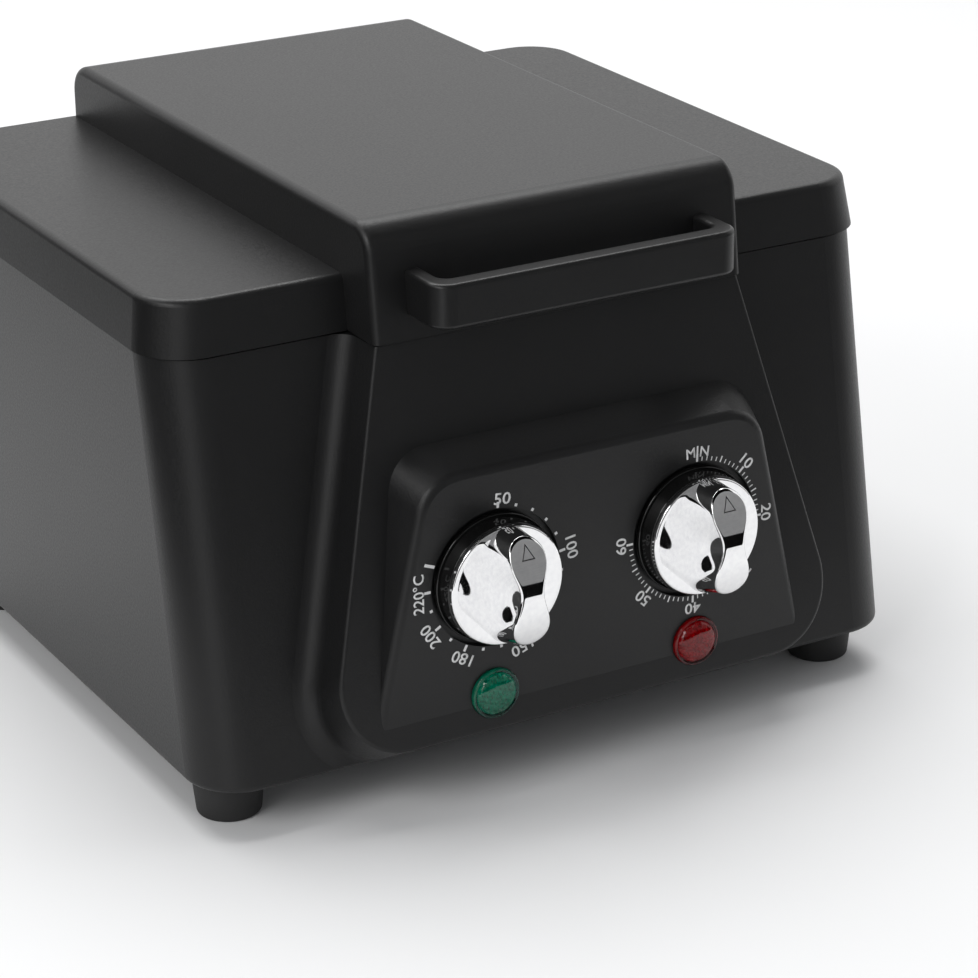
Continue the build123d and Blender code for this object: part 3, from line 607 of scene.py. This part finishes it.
def tickTree():
    tree, keys = nodeGroup("tickRing", [
        ("Count", "Int"), ("First Angle", "Float"), ("Step Angle", "Float"), ("Radius", "Float"),
        ("Length", "Float"), ("Width", "Float"), ("Thickness", "Float"), ("Centre", "Vector")])
    given = tree.nodes.new("NodeGroupInput").outputs
    index = tree.nodes.new("GeometryNodeInputIndex").outputs[0]
    angle = maths(tree, "ADD", given["First Angle"], maths(tree, "MULTIPLY", index, given["Step Angle"]))
    middle = maths(tree, "ADD", given["Radius"], maths(tree, "MULTIPLY", given["Length"], 0.5))
    across = maths(tree, "MULTIPLY", maths(tree, "SINE", angle), middle)
    upward = maths(tree, "MULTIPLY", maths(tree, "COSINE", angle), middle)
    points = linked(tree, "GeometryNodePoints", 0, Count=given["Count"],
                    Position=vectorOf(tree, across, 0.0, upward))
    size = vectorOf(tree, given["Width"], given["Thickness"], given["Length"])
    bar = linked(tree, "GeometryNodeMeshCube", "Mesh", Size=size)
    turn = linked(tree, "FunctionNodeEulerToRotation", 0, Euler=vectorOf(tree, 0.0, angle, 0.0))
    bars = linked(tree, "GeometryNodeInstanceOnPoints", "Instances",
                  Points=points, Instance=bar, Rotation=turn)
    ring = linked(tree, "GeometryNodeTransform", "Geometry", Geometry=bars, Translation=given["Centre"])
    closeTree(tree, ring, finish["ink"])
    return tree, keys


def makeTicks():
    tree, keys = tickTree()
    made = []
    for side, rings in tickRings.items():
        for ring in rings:
            made.append(grown(side + "_ticks", [(0, 0, 0)], tree, keys, {
                "Count": ring["count"], "First Angle": radians(ring["first"]),
                "Step Angle": radians(ring["step"]), "Radius": ring["radius"] * mm,
                "Length": ring["length"] * mm, "Width": ring["width"] * mm,
                "Thickness": ring["thick"] * 2 * mm, "Centre": tuple(dialCentre[side])}))
    ticks = placed("dial_ticks", joined("dial_ticks", made, finish["ink"]))
    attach(ticks, "base")


# each word: text, angle, radius of its middle, height, stretch in width
dialWords = {
    "temperature": [
        ("50", 5.6, 22.4, 3.4, 1.15), ("100", 81.5, 23.9, 3.4, 1.1), ("150", 160.5, 23.9, 3.4, 1.1),
        ("180", 206.5, 23.9, 3.4, 1.1), ("200", 238.0, 23.9, 3.4, 1.1), ("220°C", 270.5, 23.6, 3.4, 1.0),
    ],
    "timer": [
        ("10", 45.5, 23.8, 3.3, 1.15), ("20", 90.0, 23.8, 3.3, 1.15), ("30", 135.5, 23.8, 3.3, 1.15),
        ("40", 180.3, 23.8, 3.3, 1.15), ("50", 224.5, 23.8, 3.3, 1.15), ("60", 270.0, 23.8, 3.3, 1.15),
        ("M", -3.9, 22.8, 3.0, 1.0), ("N", 7.4, 22.8, 3.0, 1.0),
    ],
}
wordForm = {"thick": 0.03, "resolution": 3, "bold": 0.012}


def textMesh(text):
    curve = bpy.data.curves.new("word", "FONT")
    curve.body = text
    curve.align_x, curve.align_y = "CENTER", "BOTTOM_BASELINE"
    curve.resolution_u = wordForm["resolution"]
    curve.offset = wordForm["bold"]
    holder = bpy.data.objects.new("word", curve)
    scene.collection.objects.link(holder)
    graph = bpy.context.evaluated_depsgraph_get()
    mesh = bpy.data.meshes.new_from_object(holder.evaluated_get(graph))
    bpy.data.objects.remove(holder)
    bpy.data.curves.remove(curve)
    return mesh


def thickened(mesh):
    # turns the flat letters to the front and gives them their thickness into the pad
    work = bmesh.new()
    work.from_mesh(mesh)
    bmesh.ops.remove_doubles(work, verts=work.verts, dist=meshCare["weld"])
    for face in work.faces:
        if face.normal.y > 0:
            face.normal_flip()
    made = bmesh.ops.extrude_face_region(work, geom=work.faces[:])
    for item in made["geom"]:
        if isinstance(item, bmesh.types.BMVert):
            item.co.y += 2 * wordForm["thick"] * mm
    bmesh.ops.recalc_face_normals(work, faces=work.faces)
    work.to_mesh(mesh)
    work.free()


def makeWord(text, angle, radius, tall, wide, centre):
    mesh = textMesh(text)
    xs, ys = [v.co.x for v in mesh.vertices], [v.co.y for v in mesh.vertices]
    size = tall / (max(ys) - min(ys))
    midX, midY = (max(xs) + min(xs)) / 2, (max(ys) + min(ys)) / 2
    turn = radians(angle)
    for v in mesh.vertices:
        x, y = (v.co.x - midX) * size * wide, (v.co.y - midY) * size + radius
        right, up = x * cos(turn) + y * sin(turn), -x * sin(turn) + y * cos(turn)
        v.co = padPoint(centre, right, up, wordForm["thick"])
    thickened(mesh)
    return mesh


def makeWords():
    made = []
    for side, words in dialWords.items():
        for text, angle, radius, tall, wide in words:
            made.append(makeWord(text, angle, radius, tall, wide, dialCentre[side]))
    words = placed("dial_numbers", joined("dial_numbers", made, finish["ink"]))
    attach(words, "base")


makeTicks()
makeWords()
print("dial print made")

# Lamps

lampForm = {
    "rim": 7.2, "seat": -0.9, "bevel": 0.15, "rimStand": 1.3, "rimRound": 0.5, "rimTurn": 130, "groove": 6.2,
    "grooveLift": 0.2, "dome": 6.0, "domeStand": 3.0, "shoulder": 0.25, "bulge": 2.2, "domeSteps": 16,
    "barrel": 5.0, "barrelBack": -7.5, "turns": 72, "coreTurns": 48, "smooth": 40,
}
prismForm = {"low": -0.1, "radius": 5.6, "pitch": 1.3, "tall": 0.95, "spread": 0.72, "sides": 4, "turn": 20}


def lampCentre(colour):
    low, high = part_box("lamp_lens_" + colour)
    return Vector(((low.x + high.x) / 2, dialCentre["timer"].y, (low.z + high.z) / 2))


def prismTree(material):
    tree, keys = nodeGroup("prismPlate", [
        ("Radius", "Float"), ("Pitch", "Float"), ("Height", "Float"), ("Centre", "Vector")])
    given = tree.nodes.new("NodeGroupInput").outputs
    grid = tree.nodes.new("GeometryNodeMeshGrid")
    size = maths(tree, "MULTIPLY", given["Radius"], 2.0)
    count = maths(tree, "ADD", maths(tree, "FLOOR", maths(tree, "DIVIDE", size, given["Pitch"])), 1.0)
    for axis in "XY":
        tree.links.new(size, grid.inputs["Size " + axis])
        tree.links.new(count, grid.inputs["Vertices " + axis])
    where = tree.nodes.new("GeometryNodeInputPosition")
    reach = tree.nodes.new("ShaderNodeVectorMath")
    reach.operation = "LENGTH"
    tree.links.new(where.outputs[0], reach.inputs[0])
    inside = maths(tree, "LESS_THAN", reach.outputs["Value"], given["Radius"])
    spike = tree.nodes.new("GeometryNodeMeshCone")
    spike.inputs["Vertices"].default_value = prismForm["sides"]
    spike.inputs["Radius Top"].default_value = 0.0
    wide = maths(tree, "MULTIPLY", given["Pitch"], prismForm["spread"])
    tree.links.new(wide, spike.inputs["Radius Bottom"])
    tree.links.new(given["Height"], spike.inputs["Depth"])
    spikes = linked(tree, "GeometryNodeInstanceOnPoints", "Instances", Points=grid.outputs["Mesh"],
                    Selection=inside, Instance=spike.outputs["Mesh"])
    shift = tree.nodes.new("GeometryNodeTransform")
    shift.inputs["Rotation"].default_value = (pi / 2, radians(prismForm["turn"]), 0)
    tree.links.new(spikes, shift.inputs["Geometry"])
    tree.links.new(given["Centre"], shift.inputs["Translation"])
    closeTree(tree, shift.outputs["Geometry"], material)
    return tree, keys


def makeCover(colour, centre):
    # clear dome with a rounded rim
    form = lampForm
    rim, back = form["rim"], form["seat"] + form["bevel"]
    profile = [(0, back), (rim - form["bevel"], back), (rim, back + form["bevel"])]
    rimMiddle = (rim - form["rimRound"], form["rimStand"] - form["rimRound"])
    profile += arc(*rimMiddle, form["rimRound"], 0, form["rimTurn"], 8)
    start = form["rimStand"] - form["shoulder"]
    for i in range(form["domeSteps"] + 1):
        part = 1 - i / form["domeSteps"]
        rise = (form["domeStand"] - start) * sqrt(1 - part ** form["bulge"])
        profile.append((form["dome"] * part, start + rise))
    name = "lamp_dome_" + colour
    mesh = cleaned(plainMesh(name, *lathe(centre, profile, form["turns"])), finish[colour + "Dome"])
    cover = placed(name, mesh, form["smooth"])
    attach(cover, "base")
    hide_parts("lamp_lens_" + colour)


def makePrism(colour, centre):
    # tinted barrel behind the dome, its front set with small pyramids
    form, tint = lampForm, finish[colour + "Prism"]
    profile = [(0, form["barrelBack"]), (form["barrel"], form["barrelBack"]), (form["barrel"], form["seat"])]
    profile += [(form["groove"], form["seat"] + form["grooveLift"])]
    profile += [(form["groove"], prismForm["low"]), (0, prismForm["low"])]
    core = cleaned(plainMesh("core", *lathe(centre, profile, form["coreTurns"])), tint)
    tree, keys = prismTree(tint)
    spikes = grown("spikes", [(0, 0, 0)], tree, keys, {
        "Radius": prismForm["radius"] * mm, "Pitch": prismForm["pitch"] * mm,
        "Height": prismForm["tall"] * mm, "Centre": tuple(padPoint(centre, 0, 0, prismForm["low"]))})
    name = "lamp_prism_" + colour
    prism = placed(name, joined(name, [core, spikes], tint))
    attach(prism, "base")


for colour in ("green", "red"):
    makeCover(colour, lampCentre(colour))
    makePrism(colour, lampCentre(colour))
print("lamps made")

# Screws

# axis points from the shank to the head
screwSets = {
    "screws_feet": {
        "body": "base", "starts": "foot_screw_", "axis": (0, 0, -1), "head": 3.5, "tall": 2.4, "shank": 2.0},
    "screws_liner": {
        "body": "lid", "starts": "liner_screw_", "axis": (0, 0, -1), "head": 2.8, "tall": 1.0, "shank": 1.5},
    "screws_inlet": {
        "body": "base", "starts": "inlet_screw_", "axis": (0, 1, 0), "head": 2.7, "tall": 1.5, "shank": 1.5},
    "screws_brackets": {
        "body": "base", "starts": "bracket_screw_", "axis": (0, 1, 0), "head": 2.8, "tall": 1.5, "shank": 1.5},
}
crossForm = {
    "top": 0.6, "halfHead": 0.5, "domeLift": 0.4999, "shankDrop": -0.9999, "slotLong": 1.15, "slotWide": 0.24,
    "sides": 32, "shankSides": 24, "smooth": 30,
}


def screwTree():
    tree, keys = nodeGroup("crossScrews", [
        ("Head Radius", "Float"), ("Head Height", "Float"), ("Shank Radius", "Float"),
        ("Shank Length", "Float"), ("Turn", "Rotation")])
    given = tree.nodes.new("NodeGroupInput").outputs
    head, tall = given["Head Radius"], given["Head Height"]

    def share(source, factor):
        return maths(tree, "MULTIPLY", source, crossForm[factor])

    def turned(sides, top, bottom, depth):
        cone = tree.nodes.new("GeometryNodeMeshCone")
        cone.inputs["Vertices"].default_value = crossForm[sides]
        for label, source in (("Radius Top", top), ("Radius Bottom", bottom), ("Depth", depth)):
            tree.links.new(source, cone.inputs[label])
        return cone.outputs["Mesh"]

    def raised(geometry, height):
        lift = vectorOf(tree, 0.0, 0.0, height)
        return linked(tree, "GeometryNodeTransform", "Geometry", Geometry=geometry, Translation=lift)

    dome = turned("sides", share(head, "top"), head, share(tall, "halfHead"))
    collar = turned("sides", head, head, share(tall, "halfHead"))
    shank = turned("shankSides", given["Shank Radius"], given["Shank Radius"], given["Shank Length"])
    body = tree.nodes.new("GeometryNodeMeshBoolean")
    body.operation = "UNION"
    for piece in (raised(dome, share(tall, "domeLift")), collar,
                  raised(shank, share(given["Shank Length"], "shankDrop"))):
        tree.links.new(piece, body.inputs["Mesh 2"])
    cut = tree.nodes.new("GeometryNodeMeshBoolean")
    cut.operation = "DIFFERENCE"
    tree.links.new(body.outputs["Mesh"], cut.inputs["Mesh 1"])
    for across, along in (("slotLong", "slotWide"), ("slotWide", "slotLong")):
        size = vectorOf(tree, share(head, across), share(head, along), tall)
        blade = linked(tree, "GeometryNodeMeshCube", "Mesh", Size=size)
        tree.links.new(raised(blade, tall), cut.inputs["Mesh 2"])
    screws = linked(tree, "GeometryNodeInstanceOnPoints", "Instances", Points=given["Geometry"],
                    Instance=cut.outputs["Mesh"], Rotation=given["Turn"])
    closeTree(tree, screws, finish["screw"])
    return tree, keys


def makeScrews():
    tree, keys = screwTree()
    for name, form in screwSets.items():
        members = sorted(n for n in nodes if n.startswith(form["starts"]))
        axis, tall = Vector(form["axis"]), form["tall"] * mm
        seats = []
        for member in members:
            low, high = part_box(member)
            whole = abs((high - low).dot(axis))
            seats.append((low + high) / 2 + axis * (whole / 2 - tall))
        made = grown(name, seats, tree, keys, {
            "Head Radius": form["head"] * mm, "Head Height": tall, "Shank Radius": form["shank"] * mm,
            "Shank Length": whole - tall, "Turn": tuple(axis.to_track_quat("Z", "Y").to_euler())})
        screws = placed(name, cleaned(made, finish["screw"]), crossForm["smooth"])
        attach(screws, form["body"])
        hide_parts(*members)


makeScrews()
print("screws made")

# Studio

studio = {
    "floor": {"size": 7.0, "tone": 0.90, "lightTone": 0.92, "grain": 3, "rough": 0.9},
    "world": {"tint": (0.75, 0.76, 0.78), "light": 0.45},
    "flagPaper": {"lighter": 1.1, "grain": 200},
    "flags": {
        "flag_low": {
            "tone": 0.004,
            "corners": [(-0.25, -0.36, 0.0), (1.2, -0.36, 0.0), (1.2, -0.36, 0.06), (-0.25, -0.36, 0.06)]},
        "flag_front": {
            "tone": 0.24,
            "corners": [(-0.25, -0.36, 0.06), (1.2, -0.36, 0.06), (1.2, -0.36, 0.45), (-0.25, -0.36, 0.45)]},
        "flag_top": {
            "tone": 0.003,
            "corners": [(-0.6, -0.7, 0.8), (0.8, -0.7, 0.8), (0.8, 0.15, 0.8), (-0.6, 0.15, 0.8)]},
        "flag_left": {
            "tone": 0.003,
            "corners": [(-0.34, -0.25, 0.0), (-0.34, 0.6, 0.0), (-0.34, 0.6, 0.30), (-0.34, -0.25, 0.30)]},
    },
    "lights": {
        "topBox": {"place": (0.1, 0.5, 1.5), "aim": (0, 0, 0.1), "size": (1.6, 1.2), "power": 23},
        "leftBox": {"place": (-1.3, -0.5, 0.9), "aim": (0, 0, 0.08), "size": (0.9, 0.9), "power": 9},
    },
    "camera": {
        "place": (-0.432788, -0.801990, 0.424016), "turn": (67.75046, 0.29318, -30.45334),
        "lens": 121.62, "sensor": 36.0, "shift": (-0.03337, -0.01045), "clip": (0.05, 30)},
}


def stageSheet(name, paper, corners, dark, light, grain):
    mat, tree, bsdf = newMaterial(paper)
    coloured(tree, bsdf, objectNoise(tree, grain), (dark,) * 3, (light,) * 3)
    mesh = plainMesh(name, corners, [(0, 1, 2, 3)])
    mesh.materials.append(mat)
    sheet = placed(name, mesh)
    return sheet, bsdf


def makeFloor():
    form = studio["floor"]
    half = form["size"] / 2
    corners = [(-half, -half, 0), (half, -half, 0), (half, half, 0), (-half, half, 0)]
    _, bsdf = stageSheet("floor", "floorPaper", corners, form["tone"], form["lightTone"], form["grain"])
    bsdf.inputs["Roughness"].default_value = form["rough"]


def makeFlags():
    # studio cards that only the reflections see
    paper = studio["flagPaper"]
    for name, form in studio["flags"].items():
        light = form["tone"] * paper["lighter"]
        flag, bsdf = stageSheet(name, name, form["corners"], form["tone"], light, paper["grain"])
        bsdf.inputs["Specular IOR Level"].default_value = 0.0
        flag.visible_camera = flag.visible_diffuse = flag.visible_shadow = False


def makeWorld():
    # dim for diffuse light, white where the camera, gloss or glass sees it
    world = bpy.data.worlds.new("studio")
    scene.world = world
    world.use_nodes = True
    tree = world.node_tree
    dim = tree.nodes["Background"]
    dim.inputs["Color"].default_value = (*studio["world"]["tint"], 1)
    dim.inputs["Strength"].default_value = studio["world"]["light"]
    white = addNode(tree, "ShaderNodeBackground", Strength=1.0)
    white.inputs["Color"].default_value = (1, 1, 1, 1)
    path = addNode(tree, "ShaderNodeLightPath")
    seen = path.outputs["Is Camera Ray"]
    for ray in ("Is Glossy Ray", "Is Transmission Ray"):
        either = addNode(tree, "ShaderNodeMath", operation="MAXIMUM")
        tree.links.new(seen, either.inputs[0])
        tree.links.new(path.outputs[ray], either.inputs[1])
        seen = either.outputs[0]
    mix = addNode(tree, "ShaderNodeMixShader")
    for slot, source in zip(mix.inputs, (seen, dim.outputs[0], white.outputs[0])):
        tree.links.new(source, slot)
    tree.links.new(mix.outputs[0], tree.nodes["World Output"].inputs["Surface"])


def makeLights():
    for name, form in studio["lights"].items():
        data = bpy.data.lights.new(name, "AREA")
        data.shape = "RECTANGLE"
        data.size, data.size_y = form["size"]
        data.energy = form["power"]
        light = bpy.data.objects.new(name, data)
        scene.collection.objects.link(light)
        light.location = form["place"]
        ray = Vector(form["aim"]) - Vector(form["place"])
        light.rotation_euler = ray.to_track_quat("-Z", "Y").to_euler()


def makeCamera():
    form = studio["camera"]
    data = bpy.data.cameras.new("camera")
    camera = bpy.data.objects.new("camera", data)
    scene.collection.objects.link(camera)
    camera.location = form["place"]
    camera.rotation_euler = [radians(angle) for angle in form["turn"]]
    data.lens = form["lens"]
    data.sensor_width = form["sensor"]
    data.shift_x, data.shift_y = form["shift"]
    data.clip_start, data.clip_end = form["clip"]
    scene.camera = camera


makeFloor()
makeWorld()
makeFlags()
makeLights()
makeCamera()
scene.view_settings.view_transform = "Standard"
print("studio made")
